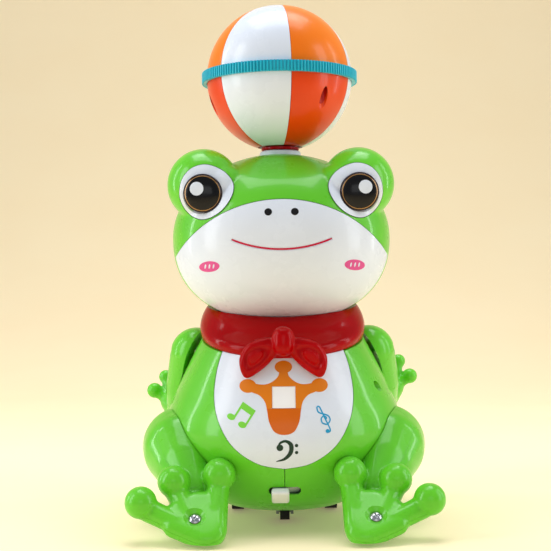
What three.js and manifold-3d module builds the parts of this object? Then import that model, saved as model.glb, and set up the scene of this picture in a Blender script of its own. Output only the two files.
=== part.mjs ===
// A battery-driven plastic frog that sits upright and spins a beach ball on its head.
// Millimetres. X is to the viewer's right, Y is away from the viewer, Z is up.
// Heights are measured from the surface the frog's wheels stand on.
import * as THREE from "three";
import { ConvexGeometry } from "three/addons/geometries/ConvexGeometry.js";
import { mergeVertices } from "three/addons/utils/BufferGeometryUtils.js";
import Module from "manifold-3d";

const wasm = await Module();
wasm.setup();

// ---- Driving dimensions ----
const gap = 0.3;              // clearance between pieces that touch
const wall = 2.4;             // thickness of the moulded shells
const footprintShift = 10.9;  // moves the model so its footprint is centred on the origin

const headHalfWidth = 53.8;
const headDepthRatio = 0.9;
const headZ = 137;
const headAbove = 41.6;
const headBelow = 41.8;
const headY = -2;
const headParting = -8;       // plane between the front and back head shells
const eyeX = 37.2;
const eyeY = -19;
const eyeZ = 162.2;
const eyeBumpRadius = 17.6;
const eyeWhiteX = 35.2;
const eyeWhiteZ = 158;
const eyeWhiteRadius = 12.9;
const irisX = 36.7;
const irisZ = 157;
const irisRadius = 9;
const faceArcRadius = 64.4;   // upper edge of the white face is a circular arc
const faceArcZ = 88.9;
const faceBack = -14;          // the white face ends at this plane, ahead of the parting

const ballZ = 216.5;
const ballRadius = 36.1;
const ballWall = 2.4;
const ballBottom = 182.2;
const equatorSlot = 0.6;      // half height of the slot that holds the ring's flange
const ringRadius = 38.6;
const ringHalfHeight = 2.6;
const goreAngle = 60;
const firstGore = -21;        // centre of the first white gore, from the front towards +X
const channelRadius = 33;     // distance of the ball screws from the ball's axis
const channelAngles = [39, 159, 279];

const bodyBase = 4.5;
const flatRadius = 16;
const collarZ = 88.7;         // height of the ledge under the neckerchief, on the axis
const collarSlope = 0.2;      // the ledge drops towards the front
const neckRadius = 33;
const neckTop = 95;
const spigotRadius = 11;
const baseRadius = 38;
const windowZ = 63;
const windowWidth = 10.6;
const windowHeight = 9.4;
const switchZ = 19.6;
const switchTravel = 5.5;
const bodyScrewY = -25;
const bodyScrewZ = 65;

const armPivotY = 13;
const armPivotZ = 80.5;
const armRest = 6.5;          // degrees: one arm rests above the middle of its swing, the other below
const armSweep = 18;
const shaftRadius = 3;

const soleSlope = 41.5;       // degrees from the floor
const soleHeelY = -80;
const soleHeelZ = 4.4;
const footThickness = 9;
const footParting = 3;
const footFloor = 1.8;
const footScrew = { x: 39.8, y: -70.2, z: 13.1 };

const wheelRadius = 9;
const wheelX = 23.5;
const wheelWidth = 6;
const axleY = 10;
const axleRadius = 1.5;
const casterY = -20;
const casterTrail = 3;
const casterRadius = 4.6;

const doorHalfWidth = 30;
const doorBottom = 26;
const doorTop = 67;
const cellRadius = 7.1;
const cellLength = 50.5;
const cellY = 28.5;
const cellHeights = [32, 46.5, 61];

// ---- Materials ----
function plastic(color, roughness = 0.25) {
  return new THREE.MeshStandardMaterial({ color, roughness, metalness: 0 });
}

function metal(color, roughness = 0.35) {
  return new THREE.MeshStandardMaterial({ color, roughness, metalness: 1 });
}

const green = plastic(0x63c52a);
const white = plastic(0xf0f0f2);
const orange = plastic(0xf07818);
const teal = plastic(0x28a8be);
const red = plastic(0xb80a10);
const black = plastic(0x120c0c, 0.1);
const grey = plastic(0x9a9ca0, 0.5);
const darkGrey = plastic(0x33363a, 0.5);
const boardGreen = plastic(0x1d6b3a, 0.5);
const rubber = plastic(0x26262a, 0.8);
const lamp = plastic(0xfff4e0, 0.2);
const steel = metal(0xb8babd);
const copper = metal(0xc08a4a);

// ---- Solids from three.js geometry ----
function solid(geometry) {
  const plain = geometry.clone();
  plain.deleteAttribute("normal");
  plain.deleteAttribute("uv");
  const merged = mergeVertices(plain, 1e-4);
  const corners = merged.attributes.position;
  const triangles = Array.from(merged.index.array);
  const a = new THREE.Vector3();
  const b = new THREE.Vector3();
  const c = new THREE.Vector3();
  const kept = [];
  let volume = 0;
  for (let i = 0; i < triangles.length; i += 3) {
    const [p, q, r] = triangles.slice(i, i + 3);
    if (p === q || q === r || r === p) continue;
    a.fromBufferAttribute(corners, p);
    b.fromBufferAttribute(corners, q);
    c.fromBufferAttribute(corners, r);
    volume += a.dot(b.cross(c));
    kept.push(p, q, r);
  }
  if (volume < 0) kept.reverse();
  return new wasm.Manifold(new wasm.Mesh({
    numProp: 3,
    vertProperties: new Float32Array(corners.array),
    triVerts: new Uint32Array(kept),
  }));
}

function geometryOf(shape) {
  const mesh = shape.getMesh();
  const geometry = new THREE.BufferGeometry();
  geometry.setAttribute("position", new THREE.BufferAttribute(mesh.vertProperties, 3));
  geometry.setIndex(new THREE.BufferAttribute(mesh.triVerts, 1));
  return geometry;
}

function moved(shape, matrix) {
  return solid(geometryOf(shape).applyMatrix4(matrix));
}

function box(x0, x1, y0, y1, z0, z1) {
  const geometry = new THREE.BoxGeometry(x1 - x0, y1 - y0, z1 - z0);
  return solid(geometry.translate((x0 + x1) / 2, (y0 + y1) / 2, (z0 + z1) / 2));
}

// A cylinder along one axis; (u, v) is its place on the other two axes in x, y, z order.
function rod(axis, radius, from, to, u, v, segments = 16) {
  const geometry = new THREE.CylinderGeometry(radius, radius, to - from, segments);
  const middle = (from + to) / 2;
  if (axis === "x") geometry.rotateZ(Math.PI / 2).translate(middle, u, v);
  if (axis === "y") geometry.translate(u, middle, v);
  if (axis === "z") geometry.rotateX(Math.PI / 2).translate(u, v, middle);
  return solid(geometry);
}

function sphere(radius, x, y, z, segments = 24) {
  const geometry = new THREE.SphereGeometry(radius, segments, Math.round(segments * 0.6));
  return solid(geometry.rotateX(Math.PI / 2).translate(x, y, z));
}

// A solid of revolution about Z from [radius, height] points that close on the axis.
function turned(profile, segments = 24, depthRatio = 1, shiftY = 0) {
  const points = profile.map(([r, z]) => new THREE.Vector2(r, z));
  const geometry = new THREE.LatheGeometry(points, segments).rotateX(Math.PI / 2);
  return solid(geometry.scale(1, depthRatio, 1).translate(0, shiftY, 0));
}

// A ring of revolution from a profile that closes on itself.
function ring(profile, segments = 24, depthRatio = 1, shiftY = 0) {
  return turned([...profile, profile[0]], segments, depthRatio, shiftY);
}

// An upright outline in X and Z, drawn through the model along Y.
function curtain(shape, y0, y1, segments = 12) {
  const settings = { depth: y1 - y0, bevelEnabled: false, curveSegments: segments };
  const geometry = new THREE.ExtrudeGeometry(shape, settings);
  return solid(geometry.rotateX(Math.PI / 2).translate(0, y1, 0));
}

// The smallest convex solid around several balls given as [x, y, z, radius].
function limb(balls, segments = 8) {
  const points = [];
  for (const [x, y, z, radius] of balls) {
    const geometry = new THREE.SphereGeometry(radius, segments, segments / 2);
    const corners = geometry.attributes.position;
    for (let i = 0; i < corners.count; i += 1) {
      points.push(new THREE.Vector3().fromBufferAttribute(corners, i).add(new THREE.Vector3(x, y, z)));
    }
  }
  return solid(new ConvexGeometry(points));
}

function joined(shapes) {
  return shapes.reduce((whole, next) => whole.add(next));
}

function cut(shape, tools) {
  return tools.reduce((rest, tool) => rest.subtract(tool), shape);
}

function mirrored(shape) {
  return moved(shape, new THREE.Matrix4().makeScale(-1, 1, 1));
}

const frog = new THREE.Group();

function add(name, shape, material) {
  const mesh = new THREE.Mesh(geometryOf(shape), material);
  mesh.name = name;
  frog.add(mesh);
}

function addPair(name, rightShape, material) {
  add(`${name}_right`, rightShape, material);
  add(`${name}_left`, mirrored(rightShape), material);
}

// ---- Ball: two orange hemispheres with white gores, clamped on a ribbed ring ----
function sector(middle, halfAngle, inner, z0, z1) {
  const at = (radius, degrees) => {
    const turn = THREE.MathUtils.degToRad(degrees);
    return new THREE.Vector2(radius * Math.sin(turn), -radius * Math.cos(turn));
  };
  const far = ballRadius * 1.4;
  const shape = new THREE.Shape([
    at(inner, middle - halfAngle), at(far, middle - halfAngle),
    at(far, middle + halfAngle), at(inner, middle + halfAngle),
  ]);
  const settings = { depth: z1 - z0, bevelEnabled: false };
  return solid(new THREE.ExtrudeGeometry(shape, settings).translate(0, 0, z0));
}

function buildBall() {
  const outer = sphere(ballRadius, 0, 0, ballZ, 20);
  const inner = sphere(ballRadius - ballWall, 0, 0, ballZ, 12);
  const panelBack = sphere(ballRadius - 1.2, 0, 0, ballZ, 20);
  const recessBack = sphere(ballRadius - 1.2 - gap, 0, 0, ballZ, 20);
  const oversize = sphere(ballRadius + 1, 0, 0, ballZ, 20);
  const core = sphere(ballRadius - 0.8, 0, 0, ballZ, 16);
  const reach = ballRadius + 5;
  const halves = [
    { name: "upper", z0: ballZ + equatorSlot, z1: ballZ + reach, cavity: ballZ - reach, inner: 1.5 },
    { name: "lower", z0: ballBottom, z1: ballZ - equatorSlot, cavity: ballBottom + wall, inner: 13.6 },
  ];
  const spots = channelAngles.map((degrees) => {
    const turn = THREE.MathUtils.degToRad(degrees);
    return [channelRadius * Math.sin(turn), -channelRadius * Math.cos(turn)];
  });
  for (const half of halves) {
    const slab = box(-reach, reach, -reach, reach, half.z0, half.z1);
    const hollow = inner.intersect(box(-reach, reach, -reach, reach, half.cavity, ballZ + reach));
    let shell = outer.intersect(slab).subtract(hollow);
    for (const [x, y] of spots) {
      const post = rod("z", 3.4, ballZ - 26, ballZ + 9, x * 0.96, y * 0.96, 8);
      shell = shell.add(post.intersect(core).intersect(slab));
    }
    for (const [x, y] of spots) {
      if (half.name === "lower") {
        shell = shell.subtract(rod("z", 2.1, ballBottom - 5, ballZ - 7, x, y, 10));
      }
      shell = shell.subtract(rod("z", 1.0 + gap, ballZ - 9, ballZ + 7.5, x, y, 8));
    }
    for (let i = 0; i < 3; i += 1) {
      const middle = firstGore + i * 2 * goreAngle;
      const reachIn = half.inner;
      const wedge = sector(middle, goreAngle / 2, reachIn, half.z0 - 1, half.z1 + 1);
      const slim = sector(middle, goreAngle / 2 - 0.6, reachIn + gap, half.z0, half.z1);
      shell = shell.subtract(wedge.intersect(oversize.subtract(recessBack)));
      const panel = outer.subtract(panelBack).intersect(slim).intersect(slab);
      add(`ball_${half.name}_gore_${i + 1}`, panel, white);
    }
    if (half.name === "lower") shell = shell.subtract(rod("z", 5.4, ballBottom - 1, ballBottom + 8, 0, 0));
    add(`ball_${half.name}_shell`, shell, orange);
  }
  const flange = equatorSlot - gap;
  add("ball_ring", ring([
    [35.1, ballZ - flange], [ballRadius + gap, ballZ - flange],
    [ballRadius + gap, ballZ - ringHalfHeight], [ringRadius, ballZ - ringHalfHeight],
    [ringRadius, ballZ + ringHalfHeight], [ballRadius + gap, ballZ + ringHalfHeight],
    [ballRadius + gap, ballZ + flange], [35.1, ballZ + flange],
  ], 24), teal);
  const spindleRadius = 2.3;
  const bore = spindleRadius + gap;
  add("ball_neck", ring([
    [bore, ballBottom - 1.7], [9.4, ballBottom - 1.7], [9.4, ballBottom - gap],
    [5.1, ballBottom - gap], [5.1, ballBottom + 18], [bore, ballBottom + 18],
  ], 20), red);
  add("ball_spindle", rod("z", spindleRadius, 165.6, ballBottom + 22, 0, 0, 12), steel);
  spots.forEach(([x, y], i) => {
    const head = rod("z", 1.8, ballZ - 9, ballZ - 7.3, x, y, 10);
    const shank = rod("z", 1.0, ballZ - 8, ballZ + 6, x, y, 8);
    add(`ball_screw_${i + 1}`, head.add(shank), steel);
  });
}

// ---- Head: front and back shells, white face, eyes, and the motor that spins the ball ----
function headProfile(inset, steps = 12) {
  const points = [];
  for (let i = 0; i <= steps; i += 1) {
    const turn = -Math.PI / 2 + (i * Math.PI) / steps;
    const fullness = turn < 0 ? 2 / 2.3 : 1;
    const height = turn < 0 ? headBelow : headAbove;
    const across = i === 0 || i === steps ? 0 : Math.cos(turn) ** fullness;
    const up = Math.sign(turn) * Math.abs(Math.sin(turn)) ** fullness;
    points.push([(headHalfWidth - inset) * across, headZ + (height - inset) * up]);
  }
  return points;
}

function headSolid(inset, segments) {
  const skull = turned(headProfile(inset), segments, headDepthRatio, headY);
  const bump = (x) => sphere(eyeBumpRadius - inset, x, eyeY, eyeZ, segments * 0.75);
  return joined([skull, bump(eyeX), bump(-eyeX)]);
}

function buildHead() {
  const outer = headSolid(0, 20);
  const proud = headSolid(-0.7, 20);
  const inner = headSolid(wall, 12);
  const shell = outer.subtract(inner);
  const reach = 80;
  const front = box(-reach, reach, -reach, headParting - gap / 2, 60, 200);
  const back = box(-reach, reach, headParting + gap / 2, reach, 60, 200);
  const faceDisc = rod("y", faceArcRadius, -reach, faceBack, 0, faceArcZ, 48);
  const faceOpening = rod("y", faceArcRadius + gap, -reach, faceBack + gap, 0, faceArcZ, 48);
  const eyeWhite = (radius) => rod("y", radius, -reach, eyeY - 5, eyeWhiteX, eyeWhiteZ, 20);
  const seatHole = rod("z", 10.6, 165, 190, 0, 0, 20);
  const spigotHole = rod("z", spigotRadius + gap, 90, 112, 0, 0, 20);
  const socket = eyeWhite(eyeWhiteRadius + gap);
  add("head_front_shell", cut(shell.intersect(front), [
    faceOpening, socket, mirrored(socket), seatHole, spigotHole,
  ]), green);
  add("head_back_shell", cut(shell.intersect(back), [seatHole, spigotHole]), green);
  const face = proud.subtract(headSolid(1.6, 12)).intersect(front).intersect(faceDisc);
  add("face_plate", face.subtract(spigotHole), white);
  const irisHole = rod("y", irisRadius + gap, -reach, 0, irisX, irisZ, 16);
  const iris = headSolid(-1.6, 20).intersect(rod("y", irisRadius, -reach, eyeY - 8, irisX, irisZ, 16));
  addPair("eye_white", proud.intersect(eyeWhite(eyeWhiteRadius)).subtract(irisHole), white);
  addPair("eye_iris", iris, black);
  add("ball_seat", ring([
    [4.4, 171.8], [12, 171.8], [12, 173.2], [10.3, 173.2], [10.3, 180],
    [2.8, 180], [2.8, 176.5], [4.4, 176.5],
  ], 16), white);
  add("ball_motor", turned([
    [0, 148], [11, 148], [11, 169], [4, 169], [4, 173.5], [2.6, 173.5], [2.6, 165], [0, 165],
  ], 16), steel);
}

// ---- Body: left and right shells closed at the bottom by a round base ----
const pearPoints = [
  [flatRadius, bodyBase], [31, 7.4], [43, 14.6], [51.5, 24.5], [56.8, 35], [58.2, 43.5],
  [56.5, 53.5], [51.5, 65], [45, 78.5], [40, 88], [36, 97], [33.5, 106],
];

function pearProfile(inset, steps = 11) {
  const curve = new THREE.SplineCurve(pearPoints.map(([r, z]) => new THREE.Vector2(r, z)));
  const profile = [[0, bodyBase + inset]];
  for (let i = 0; i <= steps; i += 1) {
    const spot = curve.getPoint(i / steps);
    const along = i === 0 ? new THREE.Vector2(1, 0) : curve.getTangent(i / steps);
    profile.push([spot.x - inset * along.y, spot.y + inset * along.x]);
  }
  profile.push([0, profile[profile.length - 1][1]]);
  return profile;
}

function slopedBlock(z0) {
  const geometry = new THREE.BoxGeometry(200, 200, 200).translate(0, 0, z0 - 100);
  return solid(geometry.applyMatrix4(new THREE.Matrix4().makeShear(0, 0, 0, collarSlope, 0, 0)));
}

function bellyShape(grow) {
  const shape = new THREE.Shape();
  shape.moveTo(-24.5 - grow, 92);
  shape.bezierCurveTo(-28 - grow, 82, -32.2 - grow, 72, -32.2 - grow, 62);
  shape.bezierCurveTo(-32.2 - grow, 44, -20, 31 - grow, 0, 31 - grow);
  shape.bezierCurveTo(20, 31 - grow, 32.2 + grow, 44, 32.2 + grow, 62);
  shape.bezierCurveTo(32.2 + grow, 72, 28 + grow, 82, 24.5 + grow, 92);
  shape.closePath();
  return shape;
}

const pear = turned(pearProfile(0), 24).intersect(slopedBlock(collarZ));

function buildBody() {
  const neck = rod("z", neckRadius, 70, neckTop, 0, 0, 20);
  const hollow = turned(pearProfile(wall), 12).intersect(slopedBlock(collarZ - wall));
  const neckHollow = rod("z", neckRadius - wall, 68, neckTop - wall, 0, 0, 16);
  const spigot = rod("z", spigotRadius, neckTop - 1, neckTop + 9, 0, 0, 14);
  const wireHole = rod("z", spigotRadius - wall, neckTop - 8, neckTop + 12, 0, 0, 12);
  let shell = joined([pear, neck, spigot]);
  shell = cut(shell, [hollow, neckHollow, wireHole]);
  shell = shell.add(rod("x", 4.6, -60, 60, bodyScrewY, bodyScrewZ, 8).intersect(turned(pearProfile(1), 16)));

  // White belly, set in a shallow recess, with a small clear window for the lamp
  const front = box(-60, 60, -80, 0, 0, 120);
  const proud = turned(pearProfile(-0.5), 24).intersect(slopedBlock(collarZ));
  const plateBack = turned(pearProfile(1.1), 20);
  const recessBack = turned(pearProfile(1.1 + gap), 20);
  const plate = proud.subtract(plateBack).intersect(front).intersect(curtain(bellyShape(0), -80, 0));
  const recess = turned(pearProfile(-1), 24).subtract(recessBack).intersect(front)
    .intersect(curtain(bellyShape(gap), -80, 0));
  const lampPlace = (grow) => [
    -windowWidth / 2 - grow, windowWidth / 2 + grow, -80, -30,
    windowZ - windowHeight / 2 - grow, windowZ + windowHeight / 2 + grow,
  ];
  const lampHole = box(...lampPlace(gap));
  add("belly_plate", plate.subtract(lampHole), white);
  const windowBack = turned(pearProfile(wall + 0.6), 16);
  add("light_window", proud.subtract(windowBack).intersect(box(...lampPlace(0))), lamp);

  // Battery door in the back, base plate under the body
  const doorBox = (grow) => box(
    -doorHalfWidth - grow, doorHalfWidth + grow, 5, 80, doorBottom - grow, doorTop + grow,
  );
  const doorScrewZ = doorTop - 3.5;
  const coverScrewHole = joined([
    rod("y", 2.6 + gap, 49.4, 60, 0, doorScrewZ, 12), rod("y", 1.3 + gap, 38, 60, 0, doorScrewZ, 10),
  ]);
  const coverBoss = rod("y", 3.2, 45, 51, 0, doorScrewZ, 12).intersect(pear);
  add("battery_cover", pear.subtract(hollow).intersect(doorBox(-gap)).add(coverBoss)
    .subtract(coverScrewHole), green);
  add("battery_cover_screw", joined([
    rod("y", 2.6, 49.7, 51.3, 0, doorScrewZ, 12), rod("y", 1.3, 40, 50, 0, doorScrewZ, 8),
  ]), steel);

  const floor = (radius) => rod("z", radius, 0, 20, 0, 0, 28);
  const well = rod("z", 10.6, bodyBase, 15.5, 0, casterY, 20);
  const wheelSlot = (side) => box(
    side * wheelX - wheelWidth / 2 - 1.2, side * wheelX + wheelWidth / 2 + 1.2,
    axleY - wheelRadius - 1.5, axleY + wheelRadius + 1.5, 0, 20,
  );
  const unitPocket = box(-15.4, 15.4, -0.4, 20.4, 7.2, 30);
  const axleGroove = rod("x", axleRadius + gap, -30, 30, axleY, wheelRadius, 8);
  const base = pear.subtract(hollow).intersect(floor(baseRadius - gap));
  add("base_plate", cut(base.add(well.intersect(pear)), [
    rod("z", 8.6, 0, 13.4, 0, casterY, 20), rod("z", 2 + gap, 0, 20, 0, casterY, 12),
    wheelSlot(1), wheelSlot(-1), unitPocket, axleGroove,
  ]), green);

  // Openings of the two halves
  const bodyScrewHole = joined([
    rod("x", 2.4, 33.7, 60, bodyScrewY, bodyScrewZ, 12),
    rod("x", 1.3 + gap, -16, 40, bodyScrewY, bodyScrewZ, 8),
  ]);
  const shaftHoles = rod("x", shaftRadius + gap, -70, 70, armPivotY, armPivotZ, 12);
  const switchSlot = box(-7, 7.2, -60, -35, switchZ - 2.4, switchZ + 2.4);
  const opened = cut(shell, [
    recess, doorBox(0), floor(baseRadius), bodyScrewHole, shaftHoles, switchSlot,
    box(-6, 6, -60, -30, 57.6, 68.4),
  ]);
  const side = (sign) => moved(box(gap / 2, 90, -90, 90, 0, 130), new THREE.Matrix4().makeScale(sign, 1, 1));
  add("body_right_shell", opened.intersect(side(1)), green);
  add("body_left_shell", opened.intersect(side(-1)), green);
  add("body_screw", joined([
    rod("x", 2.1, 34, 35.7, bodyScrewY, bodyScrewZ, 10).intersect(side(1)),
    rod("x", 1.3, -12, 35, bodyScrewY, bodyScrewZ, 8),
  ]), steel);
}

// ---- Neckerchief: one moulded collar with a knot and two tails ----
const collarSection = [
  [33.6, collarZ + gap], [39.4, collarZ + gap], [40, collarZ + 2.4], [39.4, 97],
  [37.4, 103], [34.6, 104], [33.6, 102],
];
const collarDepthRatio = 1.1;
const collarShiftY = -1.5;
const tilt = new THREE.Matrix4().makeShear(0, 0, 0, collarSlope, 0, 0);

function buildNeckerchief() {
  const collar = moved(ring(collarSection, 24, collarDepthRatio, collarShiftY), tilt);
  const knot = limb([[0, -45.5, 91, 4.2], [0, -46.5, 85.5, 5], [-2, -45, 88, 4.4], [2, -45, 88, 4.4]]);
  const tail = (side) => limb([
    [side * 5, -46.5, 86, 3.2], [side * 13, -47.5, 84, 3.6], [side * 16.6, -47.8, 79, 3.6],
    [side * 16.8, -49, 74.8, 1.7],
  ]);
  const clear = turned(pearProfile(-0.5 - gap), 24).intersect(slopedBlock(collarZ));
  add("neckerchief", cut(joined([collar, knot, tail(1), tail(-1)]), [clear, headSolid(-1.2, 16)]), red);
}

// ---- Legs: thigh and the upper half of the foot in one moulding, the sole screwed on ----
const slope = THREE.MathUtils.degToRad(soleSlope);

// Places sole coordinates (x across, v up the sole from the heel, depth below its face).
const solePlane = new THREE.Matrix4()
  .makeTranslation(0, soleHeelY, soleHeelZ)
  .multiply(new THREE.Matrix4().makeRotationX(slope));

function onSole(x, v, depth) {
  const spot = new THREE.Vector3(x, v, -depth).applyMatrix4(solePlane);
  return [spot.x, spot.y, spot.z];
}

function soleSlab(outline, depth0, depth1) {
  const settings = { depth: depth1 - depth0, bevelEnabled: false, curveSegments: 5 };
  const geometry = new THREE.ExtrudeGeometry(outline, settings).translate(0, 0, -depth1);
  return solid(geometry.applyMatrix4(solePlane));
}

function palmShape() {
  const shape = new THREE.Shape();
  shape.moveTo(27, 6);
  shape.quadraticCurveTo(28, 0, 33.5, 0);
  shape.quadraticCurveTo(37, 0, 40, 1.8);
  shape.lineTo(53, 8);
  shape.lineTo(54, 15);
  shape.lineTo(51, 18.5);
  shape.lineTo(44, 24);
  shape.lineTo(36, 25.2);
  shape.lineTo(25.3, 26);
  shape.lineTo(25, 18);
  shape.closePath();
  return shape;
}

function soleHole(radius, depth0, depth1, segments) {
  const geometry = new THREE.CylinderGeometry(radius, radius, depth1 - depth0, segments)
    .rotateX(Math.PI / 2)
    .translate(0, 0, -(depth0 + depth1) / 2)
    .applyMatrix4(new THREE.Matrix4().makeRotationX(slope))
    .translate(footScrew.x, footScrew.y, footScrew.z);
  return solid(geometry);
}

function buildLegs() {
  const toes = [
    { root: [30.4, 21], tip: [29.7, 37.1], radius: 7.1 },
    { root: [43.5, 18], tip: [50.4, 33.4], radius: 6.9 },
    { root: [49, 12], tip: [64.3, 21.8], radius: 6.8 },
  ];
  const toe = ({ root, tip, radius }) => limb([
    [...onSole(...root, 4.6), 4.4], [...onSole(...tip, 1.2), radius],
  ]);
  const everything = new THREE.Shape([
    new THREE.Vector2(0, -60), new THREE.Vector2(100, -60),
    new THREE.Vector2(100, 90), new THREE.Vector2(0, 90),
  ]);
  const ground = box(-100, 100, -120, 60, -40, footFloor);
  const foot = joined([soleSlab(palmShape(), 0, footThickness), ...toes.map(toe)]).subtract(ground);
  const soleZone = soleSlab(everything, -20, footParting - gap / 2);
  const upperZone = soleSlab(everything, footParting + gap / 2, 90);
  const behindToes = soleSlab(everything, footThickness + 0.4, 120);
  const thigh = limb([[50, -14, 36, 18.5], [46, -32, 28, 13], [41.5, -46, 19, 8.5]], 10)
    .intersect(behindToes);
  const ankle = limb([[42, -42, 19, 8], [39.8, -61, 11, 7.2]]).intersect(upperZone);
  const clear = turned(pearProfile(-gap - 0.1), 24);
  const pilot = soleHole(1.3 + gap, 0, 14, 8);
  const leg = joined([foot.intersect(upperZone), thigh, ankle]);
  addPair("leg", cut(leg, [clear, ground, pilot]), green);
  const sole = foot.intersect(soleZone).subtract(clear);
  addPair("foot_sole", cut(sole, [
    soleHole(4.9, -2, 0.8, 16), soleHole(2.9, -2, 2.2, 14), pilot,
  ]), green);
  addPair("foot_screw", soleHole(2.6, 0.6, 1.9, 12).add(soleHole(1.3, 1.5, 8.5, 8)), steel);
}

// ---- Arms: swing on stub shafts that leave the gear unit through the shoulders ----
function aboutPivot(degrees) {
  return new THREE.Matrix4()
    .makeTranslation(0, armPivotY, armPivotZ)
    .multiply(new THREE.Matrix4().makeRotationX(THREE.MathUtils.degToRad(degrees)))
    .multiply(new THREE.Matrix4().makeTranslation(0, -armPivotY, -armPivotZ));
}

function buildArms() {
  const upper = limb([[44, 14, 79, 13.4], [47, 24, 62, 13.6], [52, 33, 47, 8.6]], 8);
  const palm = limb([[52, 33, 48, 8], [59, 38, 55, 6]]);
  const finger = (x, y, z, radius) => limb([[59, 38, 55, 3.2], [x, y, z, radius]]);
  const fingers = [finger(68, 38, 60.8, 4), finger(62.5, 43, 68, 3.7), finger(55, 47, 71, 3.7)];
  const keepOut = joined([
    turned(pearProfile(-1), 16),
    moved(rod("z", 41, 87, 106, 0, 0, 20), new THREE.Matrix4().makeScale(1, collarDepthRatio, 1)),
  ]);
  let arm = joined([upper, palm, ...fingers]);
  for (let degrees = -armSweep; degrees <= armSweep; degrees += armSweep) {
    arm = arm.subtract(moved(keepOut, aboutPivot(degrees)));
  }
  const shaftBore = rod("x", shaftRadius + gap, 20, 52, armPivotY, armPivotZ, 12);
  const screwBore = rod("x", 1.3 + gap, 40, 70, armPivotY, armPivotZ, 8);
  const headBore = rod("x", 2.8, 55, 70, armPivotY, armPivotZ, 12);
  arm = cut(arm, [shaftBore, screwBore, headBore]);
  const shaft = rod("x", shaftRadius, 22.6, 51.7, armPivotY, armPivotZ, 12)
    .subtract(rod("x", 1.3 + gap, 43, 60, armPivotY, armPivotZ, 8));
  const screw = rod("x", 2.5, 55.3, 56.8, armPivotY, armPivotZ, 10)
    .add(rod("x", 1.3, 45, 56, armPivotY, armPivotZ, 8));
  const right = (shape) => moved(shape, aboutPivot(armRest));
  const left = (shape) => moved(mirrored(shape), aboutPivot(-armRest));
  for (const [name, shape, material] of [["arm", arm, green], ["arm_shaft", shaft, steel],
    ["arm_screw", screw, steel]]) {
    add(`${name}_right`, right(shape), material);
    add(`${name}_left`, left(shape), material);
  }
  add("arm_gear_unit", box(-22, 22, 4, 21, 71, 86.5), darkGrey);
}

// ---- Power, sound, light and the on/off switch ----
function buildInside() {
  const trayOuter = box(-28, 28, 20, 36, 24, 69);
  const trayHollow = box(-26.5, 26.5, 21.2, 50, 24.8, 68.2);
  const boss = box(-4.4, 4.4, 36, 44, 60.6, 68.6);
  const boreHole = rod("y", 1.3 + gap, 37, 60, 0, doorTop - 3.5, 8);
  const lintel = box(-6, 6, 35.8, 37.4, 60.6, 69);
  add("battery_box", joined([trayOuter.subtract(trayHollow), lintel, boss]).subtract(boreHole), darkGrey);
  cellHeights.forEach((z, i) => {
    add(`cell_${i + 1}`, rod("x", cellRadius, -cellLength / 2, cellLength / 2, cellY, z, 16), copper);
  });
  add("circuit_board", box(-18, 18, -34, -32.4, 44, 76), boardGreen);
  add("lamp", rod("y", 2.5, -45, -34 - gap, 0, windowZ, 10), lamp);
  add("speaker", turned([[0, 30], [9, 30], [9, 34], [14, 35.5], [14, 37.5], [0, 37.5]], 20, 1, -9), darkGrey);

  // The knob's cap lies on the sloping wall; its stem passes the slot to a slide inside.
  const cap = new THREE.BoxGeometry(8.1, 3.6, 7.8)
    .rotateX(THREE.MathUtils.degToRad(42))
    .translate(-2.05, -49.3, switchZ - 1.9);
  const slide = box(-6, 6.8, -39.4, -37, switchZ - 1.9, switchZ + 2.1);
  const stem = box(-4.5, 0.5, -48.5, -38, switchZ - 1.6, switchZ + 1.6);
  const clear = turned(pearProfile(-gap), 24).subtract(box(-20, 20, -60, 0, switchZ - 2.2, switchZ + 2.2));
  add("switch_knob", joined([solid(cap).subtract(clear), stem, slide]), white);
  add("switch_body", box(-8.5, 8.5 + switchTravel, -36.6, -30, switchZ - 4, switchZ + 4), grey);
}

// ---- Drive: a gear unit turns one axle with two wheels, a swivelling wheel runs in front ----
function buildDrive() {
  const gearUnit = box(-15, 15, 0, 20, 7.6, 26);
  const bore = rod("x", axleRadius + gap, -20, 20, axleY, wheelRadius, 12);
  add("drive_gear_unit", gearUnit.subtract(bore), grey);
  add("drive_axle", rod("x", axleRadius, -26, 26, axleY, wheelRadius, 12), steel);
  const wheel = (side) => {
    const x0 = side * wheelX - wheelWidth / 2;
    const disc = rod("x", wheelRadius, x0, x0 + wheelWidth, axleY, wheelRadius, 24);
    return disc.subtract(rod("x", axleRadius + gap, -40, 40, axleY, wheelRadius, 12));
  };
  add("drive_wheel_right", wheel(1), rubber);
  add("drive_wheel_left", wheel(-1), rubber);
  const wheelCentre = casterY + casterTrail;
  const arm = (x0, x1) => box(x0, x1, wheelCentre - 1.8, wheelCentre + 1.8, 3, 11.5);
  add("caster_fork", joined([
    rod("z", 2, 11, 18, 0, casterY, 12), rod("z", 6, 10.4, 12.4, 0, casterY, 16),
    arm(2.8, 4.2), arm(-4.2, -2.8), rod("x", 1, -3.5, 3.5, wheelCentre, casterRadius, 8),
  ]), grey);
  const roller = rod("x", casterRadius, -2.3, 2.3, wheelCentre, casterRadius, 20);
  add("caster_wheel", roller.subtract(rod("x", 1 + gap, -5, 5, wheelCentre, casterRadius, 8)), rubber);
}

buildBall();
buildHead();
buildBody();
buildNeckerchief();
buildLegs();
buildArms();
buildInside();
buildDrive();
frog.position.set(0, footprintShift, 0);

export default frog;
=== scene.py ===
"""A musical plastic frog that sits on its base and spins a beach ball on its head.

The pieces follow the toy as it is put together: base, body, legs, arms, neckerchief, head, ball.
"""
import math

import bmesh
import bpy
from mathutils import Matrix, Vector


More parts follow.
